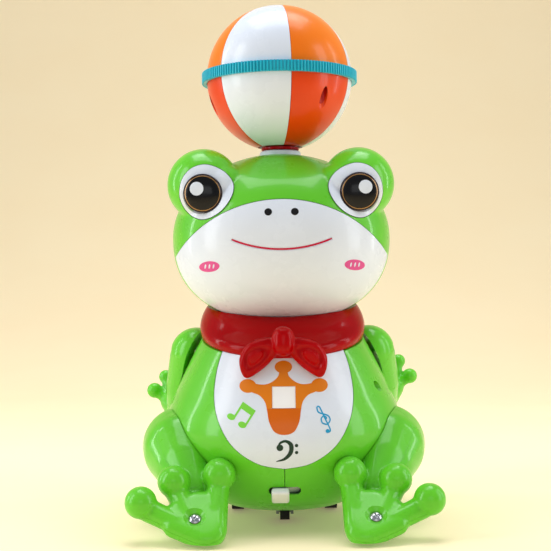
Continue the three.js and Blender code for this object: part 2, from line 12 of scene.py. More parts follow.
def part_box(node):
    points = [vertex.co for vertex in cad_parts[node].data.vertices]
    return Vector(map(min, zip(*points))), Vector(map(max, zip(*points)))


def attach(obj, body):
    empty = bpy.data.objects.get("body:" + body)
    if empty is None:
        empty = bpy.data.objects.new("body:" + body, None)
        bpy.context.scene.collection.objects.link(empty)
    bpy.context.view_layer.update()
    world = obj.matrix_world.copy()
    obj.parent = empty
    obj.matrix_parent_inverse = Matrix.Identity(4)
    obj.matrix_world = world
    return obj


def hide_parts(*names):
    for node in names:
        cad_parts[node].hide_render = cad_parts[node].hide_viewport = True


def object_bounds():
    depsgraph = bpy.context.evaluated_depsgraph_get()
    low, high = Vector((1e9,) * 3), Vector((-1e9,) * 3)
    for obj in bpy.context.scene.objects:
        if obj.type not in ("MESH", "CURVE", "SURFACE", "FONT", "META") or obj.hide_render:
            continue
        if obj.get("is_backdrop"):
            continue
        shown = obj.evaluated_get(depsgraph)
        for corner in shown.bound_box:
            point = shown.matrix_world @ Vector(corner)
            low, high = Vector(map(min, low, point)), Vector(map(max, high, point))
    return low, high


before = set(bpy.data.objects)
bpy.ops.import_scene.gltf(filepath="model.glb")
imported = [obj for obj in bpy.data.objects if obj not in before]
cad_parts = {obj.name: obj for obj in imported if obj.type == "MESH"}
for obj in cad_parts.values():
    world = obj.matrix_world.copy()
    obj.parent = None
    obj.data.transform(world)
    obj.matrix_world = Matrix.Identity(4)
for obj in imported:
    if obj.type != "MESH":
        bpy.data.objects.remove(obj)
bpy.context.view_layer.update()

# ---- Body: two green ABS halves ----
# A pear-shaped shell of glossy injection-moulded ABS, 2.4 mm thick, split left and right.
# One long screw through the right side pulls the halves together, and the seam shows at the front.
# Lengths are in millimetres from the ball's axis and the floor; to_frame takes them to metres.
MM = 0.001
spindle_low, spindle_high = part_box("ball_spindle")
axis = (spindle_low + spindle_high) / 2
to_frame = Matrix.Translation((axis.x, axis.y, 0)) @ Matrix.Scale(MM, 4)
FULL = 2 * math.pi
gap = 0.3            # between neighbouring mouldings
wall = 2.4
ledge = 88.7         # where the body's sloping top edge meets the axis
neck_radius, neck_top, neck_ledge = 33, 95, 97
spigot_radius = 11   # the head is pushed over it
floor_radius = 38
front = -80          # well ahead of the body, for solids that cut it from the front
shoulder_y, shoulder_z = 13, 80.5
lean = Matrix(((1, 0, 0, 0), (0, 1, 0, 0), (0, 0.2, 1, 0), (0, 0, 0, 1)))
body_profile = [
    (16, 4.5), (31, 7.4), (43, 14.6), (51.5, 24.5), (56.8, 35), (58.2, 43.5),
    (56.5, 53.5), (51.5, 65), (45, 78.5), (40, 88), (36, 97), (33.5, 106),
]


def link(bm, name):
    mesh = bpy.data.meshes.new(name)
    bm.to_mesh(mesh)
    bm.free()
    made = bpy.data.objects.new(name, mesh)
    bpy.context.scene.collection.objects.link(made)
    return made


def drop(made):
    mesh = made.data
    bpy.data.objects.remove(made)
    bpy.data.meshes.remove(mesh)


def baked(made):
    """The mesh of an object with its modifiers on, as a new bmesh. The object goes."""
    bpy.context.view_layer.update()
    bm = bmesh.new()
    bm.from_object(made, bpy.context.evaluated_depsgraph_get())
    drop(made)
    return bm


def combine(bm, tools, how):
    made = link(bm, "work")
    others = [link(tool, "tool") for tool in tools]
    for other in others:
        step = made.modifiers.new(how, "BOOLEAN")
        step.operation = how
        step.object = other
        step.solver = "MANIFOLD"
    done = baked(made)
    for other in others:
        drop(other)
    return done


def cut(bm, *tools):
    return combine(bm, tools, "DIFFERENCE")


def join(bm, *tools):
    return combine(bm, tools, "UNION")


def common(bm, *tools):
    return combine(bm, tools, "INTERSECT")


def molten(bm, voxel, rounds):
    """Melts joined solids into one skin with soft inner and outer corners."""
    made = link(bm, "work")
    skin = made.modifiers.new("skin", "REMESH")
    skin.mode = "VOXEL"
    skin.voxel_size = voxel
    soft = made.modifiers.new("soft", "SMOOTH")
    soft.factor = 0.5
    soft.iterations = rounds
    return baked(made)


def grown(bm, distance):
    bm.normal_update()
    moves = [(v, v.normal * distance) for v in bm.verts]
    for v, step in moves:
        v.co += step
    return bm


def turned(profile, segments=128, depth_ratio=1.0, shift_y=0.0, closed=False):
    """A solid of revolution about Z from (radius, height) points."""
    bm = bmesh.new()
    verts = [bm.verts.new((r, 0, z)) for r, z in profile]
    ends = list(zip(verts, verts[1:]))
    if closed:
        ends.append((verts[-1], verts[0]))
    edges = [bm.edges.new(pair) for pair in ends]
    bmesh.ops.spin(
        bm, geom=verts + edges, axis=(0, 0, 1), cent=(0, 0, 0), angle=FULL, steps=segments,
        use_merge=True,
    )
    bmesh.ops.remove_doubles(bm, verts=bm.verts, dist=1e-4)
    bmesh.ops.recalc_face_normals(bm, faces=bm.faces)
    bm.transform(Matrix.Translation((0, shift_y, 0)) @ Matrix.Diagonal((1, depth_ratio, 1, 1)))
    return bm


def block(x0, x1, y0, y1, z0, z1):
    bm = bmesh.new()
    size = Matrix.Diagonal((x1 - x0, y1 - y0, z1 - z0, 1))
    middle = Matrix.Translation(((x0 + x1) / 2, (y0 + y1) / 2, (z0 + z1) / 2))
    bmesh.ops.create_cube(bm, size=1, matrix=middle @ size)
    return bm


def rod(along, radius, start, end, u, v, segments=48):
    """A cylinder along x, y or z; (u, v) is its place on the other two axes."""
    length = end - start
    middle = (start + end) / 2
    turn, spot = {
        "x": (Matrix.Rotation(math.pi / 2, 4, "Y"), (middle, u, v)),
        "y": (Matrix.Rotation(math.pi / 2, 4, "X"), (u, middle, v)),
        "z": (Matrix.Identity(4), (u, v, middle)),
    }[along]
    bm = bmesh.new()
    bmesh.ops.create_cone(
        bm, cap_ends=True, segments=segments, radius1=radius, radius2=radius, depth=length,
        matrix=Matrix.Translation(spot) @ turn,
    )
    return bm


def flowing(points, steps=8, closed=True):
    """A smooth line through the points (Catmull-Rom)."""
    line = []
    count = len(points)
    last = count if closed else count - 1
    for i in range(last):
        if closed:
            p = [points[(i + k - 1) % count] for k in range(4)]
        else:
            p = [points[min(max(i + k - 1, 0), count - 1)] for k in range(4)]
        for s in range(steps):
            t = s / steps
            line.append(tuple(
                0.5 * (2 * b + (c - a) * t + (2 * a - 5 * b + 4 * c - d) * t * t
                       + (3 * b - a - 3 * c + d) * t ** 3)
                for a, b, c, d in zip(*p)
            ))
    if not closed:
        line.append(tuple(points[-1]))
    return line


def prism(outline, y0, y1):
    """An upright outline of (x, z) points, drawn through along Y."""
    bm = bmesh.new()
    face = bm.faces.new([bm.verts.new((x, y0, z)) for x, z in outline])
    swept = bmesh.ops.extrude_face_region(bm, geom=[face])
    moved = [v for v in swept["geom"] if isinstance(v, bmesh.types.BMVert)]
    bmesh.ops.translate(bm, verts=moved, vec=(0, y1 - y0, 0))
    bmesh.ops.triangulate(bm, faces=[f for f in bm.faces if len(f.verts) > 4])
    bmesh.ops.recalc_face_normals(bm, faces=bm.faces)
    return bm


def mirrored(bm):
    copy = bm.copy()
    copy.transform(Matrix.Diagonal((-1, 1, 1, 1)))
    bmesh.ops.reverse_faces(copy, faces=copy.faces)
    return copy


def srgb(r, g, b):
    return [((c / 255 + 0.055) / 1.055) ** 2.4 if c > 10 else c / 3295 for c in (r, g, b)] + [1]


def moulded_group():
    """Large soft tone, fine orange peel, fingerprints in the gloss and a trace of dust on top."""
    group = bpy.data.node_groups.new("moulded", "ShaderNodeTree")
    for name, kind, value in (
        ("Colour", "NodeSocketColor", (0.5, 0.5, 0.5, 1)),
        ("Deep", "NodeSocketColor", (0.4, 0.4, 0.4, 1)),
        ("Tone", "NodeSocketFloat", 0.5), ("Gloss", "NodeSocketFloat", 0.2),
        ("Scale", "NodeSocketFloat", 1.0), ("Dust", "NodeSocketFloat", 0.1),
        ("Vector", "NodeSocketVector", (0, 0, 0)),
    ):
        made = group.interface.new_socket(name, in_out="INPUT", socket_type=kind)
        made.default_value = value
    for name, kind in (
        ("Colour", "NodeSocketColor"), ("Roughness", "NodeSocketFloat"),
        ("Height", "NodeSocketFloat"),
    ):
        group.interface.new_socket(name, in_out="OUTPUT", socket_type=kind)
    add, wire = group.nodes.new, group.links.new
    inputs, outputs = add("NodeGroupInput"), add("NodeGroupOutput")

    def noise(scale, detail, rough=0.5):
        node = add("ShaderNodeTexNoise")
        sized = add("ShaderNodeMath")
        sized.operation = "MULTIPLY"
        sized.inputs[0].default_value = scale
        wire(inputs.outputs["Scale"], sized.inputs[1])
        wire(sized.outputs[0], node.inputs["Scale"])
        wire(inputs.outputs["Vector"], node.inputs["Vector"])
        node.inputs["Detail"].default_value = detail
        node.inputs["Roughness"].default_value = rough
        return node

    def curve(value, low, high, out_low, out_high):
        node = add("ShaderNodeMapRange")
        node.inputs["From Min"].default_value = low
        node.inputs["From Max"].default_value = high
        node.inputs["To Min"].default_value = out_low
        node.inputs["To Max"].default_value = out_high
        wire(value, node.inputs["Value"])
        return node.outputs["Result"]

    def sums(how, a, b):
        node = add("ShaderNodeMath")
        node.operation = how
        wire(a, node.inputs[0])
        wire(b, node.inputs[1])
        return node.outputs[0]

    def mixed(mask, a, b):
        node = add("ShaderNodeMix")
        node.data_type = "RGBA"
        wire(mask, node.inputs["Factor"])
        wire(a, node.inputs[6])
        wire(b, node.inputs[7])
        return node.outputs[2]

    tone = curve(noise(22, 3).outputs["Fac"], 0.35, 0.7, 0, 1)
    tinted = mixed(sums("MULTIPLY", tone, inputs.outputs["Tone"]), inputs.outputs["Colour"],
                   inputs.outputs["Deep"])
    facing = add("ShaderNodeNewGeometry")
    split = add("ShaderNodeSeparateXYZ")
    wire(facing.outputs["Normal"], split.inputs[0])
    settled = curve(split.outputs["Z"], 0.55, 1.0, 0, 1)
    specks = curve(noise(420, 8, 0.7).outputs["Fac"], 0.55, 0.72, 0.1, 1)
    dust = sums("MULTIPLY", sums("MULTIPLY", settled, specks), inputs.outputs["Dust"])
    pale = add("ShaderNodeRGB")
    pale.outputs[0].default_value = srgb(226, 220, 208)
    wire(mixed(dust, tinted, pale.outputs[0]), outputs.inputs["Colour"])
    smear = curve(noise(70, 3, 0.55).outputs["Fac"], 0.4, 0.8, 0, 0.05)
    smeared = sums("ADD", inputs.outputs["Gloss"], smear)
    wire(sums("ADD", smeared, dust), outputs.inputs["Roughness"])
    peel = curve(noise(620, 2).outputs["Fac"], 0, 1, 0, 1)
    swell = curve(noise(60, 2).outputs["Fac"], 0, 1, 0, 2.2)
    wire(sums("ADD", peel, swell), outputs.inputs["Height"])
    return group


moulded = moulded_group()


def plastic(name, colour, deep, gloss=0.28, tone=0.5, scale=1.0, dust=0.04, peel=0.05, coat=0.15,
            metallic=0.0, coat_rough=0.06, ior=1.32):
    made = bpy.data.materials.new(name)
    made.use_nodes = True
    nodes, wire = made.node_tree.nodes, made.node_tree.links.new
    shader = nodes["Principled BSDF"]
    surface = nodes.new("ShaderNodeGroup")
    surface.node_tree = moulded
    place = nodes.new("ShaderNodeTexCoord")
    wire(place.outputs["Object"], surface.inputs["Vector"])
    for socket, value in (
        ("Colour", srgb(*colour)), ("Deep", srgb(*deep)), ("Tone", tone), ("Gloss", gloss),
        ("Scale", scale), ("Dust", dust),
    ):
        surface.inputs[socket].default_value = value
    wire(surface.outputs["Colour"], shader.inputs["Base Color"])
    wire(surface.outputs["Roughness"], shader.inputs["Roughness"])
    bump = nodes.new("ShaderNodeBump")
    bump.inputs["Strength"].default_value = peel
    bump.inputs["Distance"].default_value = 0.0004
    wire(surface.outputs["Height"], bump.inputs["Height"])
    wire(bump.outputs["Normal"], shader.inputs["Normal"])
    shader.inputs["Metallic"].default_value = metallic
    shader.inputs["Coat Weight"].default_value = coat
    shader.inputs["Coat Roughness"].default_value = coat_rough
    shader.inputs["IOR"].default_value = ior
    return made


def finish(bm, name, body, material, nodes=(), sharp=38):
    """Puts a piece in the frame, in metres, on its body."""
    bm.transform(to_frame)
    bmesh.ops.remove_doubles(bm, verts=bm.verts, dist=2e-6)
    bmesh.ops.dissolve_degenerate(bm, edges=bm.edges, dist=1e-6)
    for face in bm.faces:
        face.smooth = True
    made = link(bm, name)
    made.data.set_sharp_from_angle(angle=math.radians(sharp))
    made.data.materials.append(material)
    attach(made, body)
    if nodes:
        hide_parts(*nodes)
    return made


def pear_profile(offset):
    """The body's outline, moved out (or in, below zero) along its normal, closed on the axis."""
    line = flowing([(r, z) for r, z in body_profile], 10, closed=False)
    points = [(0, body_profile[0][1] - offset)]
    for i, (r, z) in enumerate(line):
        a, b = line[max(i - 1, 0)], line[min(i + 1, len(line) - 1)]
        run = Vector((b[0] - a[0], b[1] - a[1])).normalized()
        if i == 0:
            run = Vector((1, 0))
        points.append((r + offset * run.y, z - offset * run.x))
    points.append((0, points[-1][1]))
    return points


def below_ledge(height):
    """Everything below the sloping ledge that carries the neckerchief."""
    bm = block(-100, 100, -100, 100, height - 200, height)
    bm.transform(lean)
    return bm


def pear(offset, segments=144):
    return common(turned(pear_profile(offset), segments), below_ledge(ledge + max(offset, 0)))


green = plastic("green", (104, 205, 44), (92, 196, 34), gloss=0.27, tone=0.6, coat=0.3)
belly_outline = flowing([
    (0, 31), (12, 33.3), (23, 40.6), (29.6, 51), (32.1, 62), (31, 74), (28, 84), (24.5, 92),
], 8, closed=False)
belly_outline = belly_outline + [(-x, z) for x, z in reversed(belly_outline[1:])]


def spread(outline, distance, centre):
    """The outline with each point moved away from the centre."""
    moved = []
    for x, z in outline:
        away = Vector((x - centre[0], z - centre[1]))
        away.normalize()
        moved.append((x + away.x * distance, z + away.y * distance))
    return moved


belly_hole = prism(spread(belly_outline, gap, (0, 62)), front, -8)
neck_tube = common(rod("z", neck_radius, 70, neck_top, 0, 0, 96), below_ledge(neck_ledge))
neck_hollow = common(rod("z", neck_radius - wall, 68, neck_top - wall, 0, 0, 64),
                     below_ledge(neck_ledge - wall))
shell = join(pear(0), neck_tube, rod("z", spigot_radius, 94, 104, 0, 0, 64))
shell = cut(
    shell,
    common(turned(pear_profile(-wall), 96), below_ledge(ledge - wall)),
    neck_hollow,
    rod("z", spigot_radius - wall, 87, 107, 0, 0, 48),
    common(cut(turned(pear_profile(2), 144), turned(pear_profile(-1.1 - gap), 144)), belly_hole),
    block(-30, 30, 5, 80, 26, 67),
    rod("z", floor_radius, 0, 20, 0, 0, 96),
    rod("x", 2.4, 33.7, 62, -25, 65),
    rod("x", 3.3, -70, 70, shoulder_y, shoulder_z),
    block(-6, 6, -60, -30, 57.6, 68.4),
)
slot_hole = join(
    block(-5.4, 5.4, -60, -35, 17.6, 21.6),
    rod("y", 2, -60, -35, -5.4, 19.6), rod("y", 2, -60, -35, 5.4, 19.6),
)
shell = cut(shell, slot_hole)
for side, x0, x1 in (("left", -90, -gap / 2), ("right", gap / 2, 90)):
    half = common(shell.copy(), block(x0, x1, -90, 90, 0, 130))
    finish(half, f"body_{side}", "body", green, [f"body_{side}_shell"])
shell.free()

# ---- Base plate ----
# The round floor of the body, in the same green ABS, held from below.
# It has wells for the two driven wheels and the swivelling wheel in front.
floor = common(cut(pear(0), turned(pear_profile(-wall), 96)),
               rod("z", floor_radius - gap, 0, 20, 0, 0, 96))
floor = cut(join(floor, common(rod("z", 10.6, 4.6, 15.5, 0, -20), pear(-0.05))),
            rod("z", 8.6, 0, 13.4, 0, -20), rod("z", 2.3, 0, 20, 0, -20),
            block(19.3, 27.7, -0.5, 20.5, 0, 20), block(-27.7, -19.3, -0.5, 20.5, 0, 20))
finish(floor, "base", "body", green, ["base_plate"])

# ---- Belly ----
# A white ABS inlay in a shallow recess of the front, with a small frosted window for the lamp.
# It is snapped in before the halves close.
white = plastic("white", (226, 233, 246), (220, 228, 243), gloss=0.26, tone=0.5, coat=0.25,
                dust=0.01)
belly = common(cut(pear(0.5), turned(pear_profile(-1.1), 96)), prism(belly_outline, front, -8))
belly = cut(belly, block(-5.6, 5.6, front, -30, 58, 68))
finish(belly, "belly", "body", white, ["belly_plate"])
frosted = plastic("frosted", (250, 250, 250), (240, 240, 244), gloss=0.4, tone=0.4, coat=0.1)
window = common(cut(pear(0.35), turned(pear_profile(-3), 96)),
                block(-5.3, 5.3, front, -30, 58.3, 67.7))
finish(window, "window", "body", frosted, ["light_window"])

# ---- Prints on the belly ----
# Pad-printed ink, a few hundredths thick: a crown, two notes and two clefs.
ink_skin = cut(pear(0.58, 192), pear(0.3, 192))


def printed(shapes, name, material):
    prints = join(*shapes) if len(shapes) > 1 else shapes[0]
    finish(common(prints, ink_skin.copy()), name, "body", material)


def oval(x, z, rx, rz, turn=0.0, segments=48, y0=front, y1=-20):
    c, s = math.cos(math.radians(turn)), math.sin(math.radians(turn))
    outline = []
    for i in range(segments):
        a = FULL * i / segments
        u, w = rx * math.cos(a), rz * math.sin(a)
        outline.append((x + u * c - w * s, z + u * s + w * c))
    return prism(outline, y0, y1)


def stroke(points, widths, steps=8, y0=front, y1=-20):
    """A pen stroke along the points, as wide at each as its width says."""
    line = flowing([(x, z, w) for (x, z), w in zip(points, widths)], steps, closed=False)
    left, right = [], []
    for i, (x, z, w) in enumerate(line):
        a, b = line[max(i - 1, 0)], line[min(i + 1, len(line) - 1)]
        run = Vector((b[0] - a[0], b[1] - a[1])).normalized()
        left.append((x - run.y * w / 2, z + run.x * w / 2))
        right.append((x + run.y * w / 2, z - run.x * w / 2))
    return prism(left + right[::-1], y0, y1)


crown_side = [
    (1.9, 74.6), (2.5, 72.2), (4.9, 70.0), (7.6, 68.8), (10.4, 68.6), (13.4, 68.9), (16, 68),
    (14.9, 65.4), (11.2, 63.9), (8.6, 61), (7.6, 57), (6.9, 52.8), (5.0, 48.7), (2.6, 47.1),
    (0, 46.7),
]
crown_line = flowing(crown_side, 5, closed=False)
crown_line = crown_line + [(-x, z) for x, z in reversed(crown_line[:-1])]
tongue_top = 58.2
crown = join(prism(crown_line, front, -20), oval(0, 76.3, 4.0, 2.8),
             oval(16.4, 67.9, 3.9, 3.0), oval(-16.4, 67.9, 3.9, 3.0))
crown = cut(crown, block(-5.35, 5.35, front, -20, tongue_top, 67.8))
crown_low = common(crown.copy(), block(-30, 30, front, -20, 40, tongue_top))
crown_high = common(crown, block(-30, 30, front, -20, tongue_top, 90))
ink_deep = plastic("ink_orange_deep", (212, 100, 0), (204, 94, 0), dust=0.0, coat=0.1)
ink_orange = plastic("ink_orange", (226, 128, 22), (218, 112, 10), dust=0.0, coat=0.1)
printed([crown_high], "print_crown", ink_orange)
printed([crown_low], "print_crown_tongue", ink_deep)


def turned_about(points, x, z, degrees, size=1.0):
    c, s = math.cos(math.radians(degrees)) * size, math.sin(math.radians(degrees)) * size
    return [(x + u * c - w * s, z + u * s + w * c) for u, w in points]


ink_green = plastic("ink_green", (128, 216, 70), (118, 206, 62), gloss=0.28, dust=0.0, coat=0.2)
note_at = (-18.8, 55.3, -33)
beam = [(-3.0, 4.9), (4.0, 4.9), (4.0, 2.0), (-3.0, 2.0)]
beam = prism(turned_about(beam, *note_at), front, -20)
stems = []
for x in (-2.55, 3.55):
    stem = [(x - 0.45, -3.6), (x + 0.45, -3.6), (x + 0.45, 4.4), (x - 0.45, 4.4)]
    stems.append(prism(turned_about(stem, *note_at), front, -20))
heads = []
for x in (-3.9, 2.2):
    (cx, cz), = turned_about([(x, -3.7)], *note_at)
    heads.append(oval(cx, cz, 1.9, 1.4, -15))
printed([beam, *stems, *heads], "print_notes", ink_green)

ink_blue = plastic("ink_blue", (38, 158, 208), (30, 148, 200), gloss=0.28, dust=0.0, coat=0.2)
clef_at = (18.4, 52.9, 33, 0.95)
treble = [
    (0.2, -0.4), (1.1, 0.3), (0.5, 1.6), (-1.2, 1.3), (-1.9, -0.6), (-0.4, -2.4), (1.9, -1.8),
    (2.3, 0.4), (0.8, 2.6), (-0.6, 4.6), (0.1, 6.8), (1.1, 6.4), (1.0, 4.4), (0.4, 0.5),
    (-0.4, -5.2), (-1.6, -6.0), (-2.2, -5.0),
]
treble_line = turned_about(treble, *clef_at)
(dot_x, dot_z), = turned_about([(-1.9, -5.2)], *clef_at)
parts = []
for first in range(0, len(treble_line) - 1, 4):
    run = treble_line[first:first + 5]
    parts.append(stroke(run, [0.62] * len(run), 10))
printed([*parts, oval(dot_x, dot_z, 0.9, 0.9)], "print_treble_clef", ink_blue)

ink_dark = plastic("ink_dark", (8, 52, 38), (6, 44, 32), gloss=0.28, dust=0.0, coat=0.2)
bass_line = [(-2.7, 41.2), (-1.9, 43.1), (0.6, 43.9), (2.9, 42.2), (2.7, 38.7), (0, 35.8),
             (-3.8, 34.6)]
bass = stroke(bass_line, [0.8, 1.0, 1.2, 1.9, 1.9, 1.3, 0.3], 10)
bass_dots = [oval(-2.1, 41.0, 1.5, 1.5), oval(5.4, 41.9, 0.75, 0.75), oval(5.4, 38.7, 0.75, 0.75)]
printed([bass, *bass_dots], "print_bass_clef", ink_dark)
ink_skin.free()

# ---- Screws ----
# Zinc-plated self-tapping screws with a cross recess, sunk in their counterbores.
steel = plastic("steel", (196, 198, 200), (170, 172, 176), gloss=0.24, tone=0.6, scale=6, dust=0.0,
                peel=0.1, coat=0.0, metallic=1.0)


def screw_head(radius, height, shank, length):
    """A pan head on its shank, pointing to +Z from z = 0 at the underside of the head."""
    dome = [
        (0, height), (radius * 0.45, height * 0.96), (radius * 0.8, height * 0.72),
        (radius, height * 0.3), (radius, 0), (shank, -0.05), (shank * 0.96, -length * 0.9), (0, -length),
    ]
    bm = turned(dome, 40)
    slots = []
    for turn in (0, math.pi / 2):
        reach, half = radius * 0.58, radius * 0.13
        tool = block(-reach, reach, -half, half, height * 0.25, height + 1)
        tool.transform(Matrix.Rotation(turn + 0.4, 4, "Z"))
        slots.append(tool)
    return cut(bm, *slots)


def aimed(bm, spot, direction):
    turn = Vector(direction).to_track_quat("Z", "Y").to_matrix().to_4x4()
    bm.transform(Matrix.Translation(spot) @ turn)
    return bm


body_screw = aimed(screw_head(2.1, 1.6, 1.3, 46), (34, -25, 65), (1, 0, 0))
finish(body_screw, "body_screw_made", "body", steel, ["body_screw"])
cover_screw = aimed(screw_head(2.6, 1.6, 1.3, 9.6), (0, 49.7, 63.5), (0, 1, 0))
finish(cover_screw, "cover_screw", "body", steel, ["battery_cover_screw"])

# ---- Battery cover ----
# A green door in the back of the body, held by one screw at the top.
door = common(cut(pear(0), turned(pear_profile(-wall), 96)),
              block(-30 + gap, 30 - gap, 5, 80, 26 + gap, 67 - gap))
door = join(door, common(rod("y", 3.2, 45, 51, 0, 63.5), pear(-0.05)))
door = cut(door, rod("y", 2.9, 49.4, 60, 0, 63.5), rod("y", 1.6, 38, 60, 0, 63.5))
finish(door, "cover", "body", green, ["battery_cover"])

# ---- On/off switch ----
# A white slide knob whose stem passes the slot, over a small grey switch inside.
switch_travel = 5.5
cap = block(-4.05, 4.05, -1.8, 1.8, -3.9, 3.9)
bmesh.ops.bevel(cap, geom=cap.edges, offset=1.1, segments=4, profile=0.5, affect="EDGES",
                material=-1)
cap.transform(Matrix.Translation((-2.05, -49.3, 17.7)) @ Matrix.Rotation(math.radians(42), 4, "X"))
stem = block(-4.5, 0.5, -48.5, -38, 18, 21.2)
slug = rod("x", 1.9, -3, 6.8, -42.4, 19.7, 32)
ends = [e for e in slug.edges if len(e.link_faces) == 2 and any(len(f.verts) > 4 for f in e.link_faces)]
bmesh.ops.bevel(slug, geom=ends, offset=1.3, segments=4, profile=0.5, affect="EDGES", material=-1)
# The slug stays behind the wall over the whole travel.
behind_wall = turned(pear_profile(-wall - 0.15), 96)
behind_wall_when_on = behind_wall.copy()
behind_wall_when_on.transform(Matrix.Translation((-switch_travel, 0, 0)))
slug = common(slug, behind_wall, behind_wall_when_on)
slide = block(-6, 6.8, -39.4, -37, 17.7, 21.7)
knob_white = plastic("knob_white", (240, 240, 243), (232, 232, 236), gloss=0.35, coat=0.15,
                     peel=0.12)
knob = join(cap, stem, slug, slide)
finish(knob, "knob", "switch", knob_white, ["switch_knob"])

# ---- Legs ----
# Thigh, ankle and the rear half of the foot are one hollow green moulding; the sole with its
# front half of the toes is a second one, drawn up by a screw in the middle of the sole.
sole_tilt = math.radians(41.5)
sole_plane = Matrix.Translation((0, -80, 4.4)) @ Matrix.Rotation(sole_tilt, 4, "X")


def hull(balls, segments=24):
    """The smallest convex solid around several balls given as (x, y, z, radius)."""
    bm = bmesh.new()
    for x, y, z, radius in balls:
        bmesh.ops.create_uvsphere(bm, u_segments=segments, v_segments=segments // 2, radius=radius,
                                  matrix=Matrix.Translation((x, y, z)))
    bmesh.ops.delete(bm, geom=bm.faces[:], context="FACES_ONLY")
    made = bmesh.ops.convex_hull(bm, input=bm.verts[:])
    unused = made["geom_interior"] + made["geom_unused"]
    inside = {g for g in unused if isinstance(g, bmesh.types.BMVert)}
    bmesh.ops.delete(bm, geom=list(inside), context="VERTS")
    bmesh.ops.delete(bm, geom=[v for v in bm.verts if not v.link_faces], context="VERTS")
    bmesh.ops.recalc_face_normals(bm, faces=bm.faces)
    return bm


def on_sole(x, up, depth, radius):
    spot = sole_plane @ Vector((x, up, -depth))
    return (spot.x, spot.y, spot.z, radius)


def sole_slab(depth0, depth1):
    bm = block(-5, 100, -60, 90, -depth1, -depth0)
    bm.transform(sole_plane)
    return bm


palm_spots = [(30.2, 9.5), (30.8, 7.0), (32.4, 5.2), (34.8, 4.5), (37.4, 5.0), (49.3, 11.0),
              (51.5, 14.5), (48, 20.5), (40, 24.5), (30, 25)]
palm = hull([on_sole(x, up, 4.9, 4.6) for x, up in palm_spots])
toes = []
for root, tip, radius in (
    ((31.2, 19), (29.7, 37.1), 7.6), ((43.5, 17), (50.4, 33.4), 7.4), ((48, 13), (64.3, 21.8), 7.3),
):
    neck = Vector(tip) * 0.8 + Vector(root) * 0.2
    toes.append(hull([on_sole(*root, 5.0, 5.0), on_sole(*neck, 4.4, 5.3)]))
    toes.append(hull([on_sole(*tip, 1.2, radius)], 32))
thigh = hull([
    (50, -14, 36, 18.7), (49.5, -20, 35, 18.2), (47, -31, 29.5, 14.6), (42, -46, 20.5, 9.2),
], 40)
thigh = cut(thigh, *[grown(toe.copy(), 0.8) for toe in toes])
ankle = hull([(42, -42, 19, 8), (39.8, -61, 11, 7.2)])
leg_skin = molten(join(palm, *toes, thigh, ankle), 0.65, 6)
leg_skin = cut(leg_skin, turned(pear_profile(gap + 0.1), 144), block(-100, 100, -120, 60, -40, 1.8))
sole_axis = (sole_plane.to_3x3() @ Vector((0, 0, 1))).normalized()
screw_spot = Vector((39.8, -70.2, 13.1))


def sole_bore(radius, depth0, depth1):
    bm = rod("z", radius, -depth1, -depth0, 0, 0)
    return aimed(bm, screw_spot, sole_axis)


rear = cut(common(leg_skin.copy(), sole_slab(3.06, 150)), sole_bore(1.6, 0, 14))
sink = turned([(0, -2.2), (2.9, -2.2), (2.9, -1.7), (4.7, -0.5), (5.2, 0), (5.6, 3), (0, 3)], 64)
sole = cut(common(leg_skin, sole_slab(-30, 2.94)), aimed(sink, screw_spot, sole_axis),
           sole_bore(1.6, 0, 6))
foot_screw = aimed(screw_head(2.6, 1.2, 1.3, 6.6), screw_spot - sole_axis * 1.9, sole_axis)
for side in ("right", "left"):
    for bm, name, material, slot, node in (
        (rear, "leg", green, "green_plastic", "leg"),
        (sole, "sole", green, "green_plastic", "foot_sole"),
        (foot_screw, "sole_screw", steel, "screw_steel", "foot_screw"),
    ):
        copy = bm.copy() if side == "right" else mirrored(bm)
        finish(copy, f"{name}_{side}_made", "body", material, [f"{node}_{side}"])
for bm in (rear, sole, foot_screw):
    bm.free()

# ---- Arms ----
# One-piece green mouldings that hang on the sides of the body and end in three round fingers.
# Each is screwed to a stub shaft of the gear unit and swings with the music.
pivot = Vector((0, shoulder_y, shoulder_z))
arm_rest = 6.5
arm_sweep = 18


def about_pivot(degrees):
    return (Matrix.Translation(pivot) @ Matrix.Rotation(math.radians(degrees), 4, "X")
            @ Matrix.Translation(-pivot))


arm = join(
    hull([(44, 14, 79, 13.4), (47, 24, 62, 13.6), (52, 33, 47, 8.6)], 32),
    hull([(52, 33, 48, 8), (59, 38, 55, 6)]),
    hull([(59, 38, 55, 3.4), (67, 38, 60.2, 2.9)]), hull([(68, 38, 60.8, 4.1)]),
    hull([(59, 38, 55, 3.4), (62, 42, 66, 2.8)]), hull([(62.5, 43, 68, 3.8)]),
    hull([(59, 38, 55, 3.4), (56, 46, 68, 2.8)]), hull([(55, 47, 71, 3.8)]),
)
arm = molten(arm, 0.6, 8)
keep_out = join(turned(pear_profile(1), 96), rod("z", 41, 87, 106, 0, 0, 96))
for degrees in (-arm_sweep, 0, arm_sweep):
    tool = keep_out.copy()
    tool.transform(about_pivot(degrees))
    arm = cut(arm, tool)
keep_out.free()
arm = cut(arm, *[rod("x", radius, start, end, shoulder_y, shoulder_z)
                 for radius, start, end in ((3.3, 20, 52), (1.6, 40, 70), (2.8, 55, 70))])
arm_screw = aimed(screw_head(2.5, 1.4, 1.3, 10), (55.3, shoulder_y, shoulder_z), (1, 0, 0))
for side, turn in (("right", arm_rest), ("left", -arm_rest)):
    for bm, name, material, slot, node in (
        (arm, "arm", green, "green_plastic", "arm"),
        (arm_screw, "arm_screw", steel, "screw_steel", "arm_screw"),
    ):
        copy = bm.copy() if side == "right" else mirrored(bm)
        copy.transform(about_pivot(turn))
        finish(copy, f"{name}_{side}_made", f"arm_{side}", material, [f"{node}_{side}"])
for bm in (arm, arm_screw):
    bm.free()

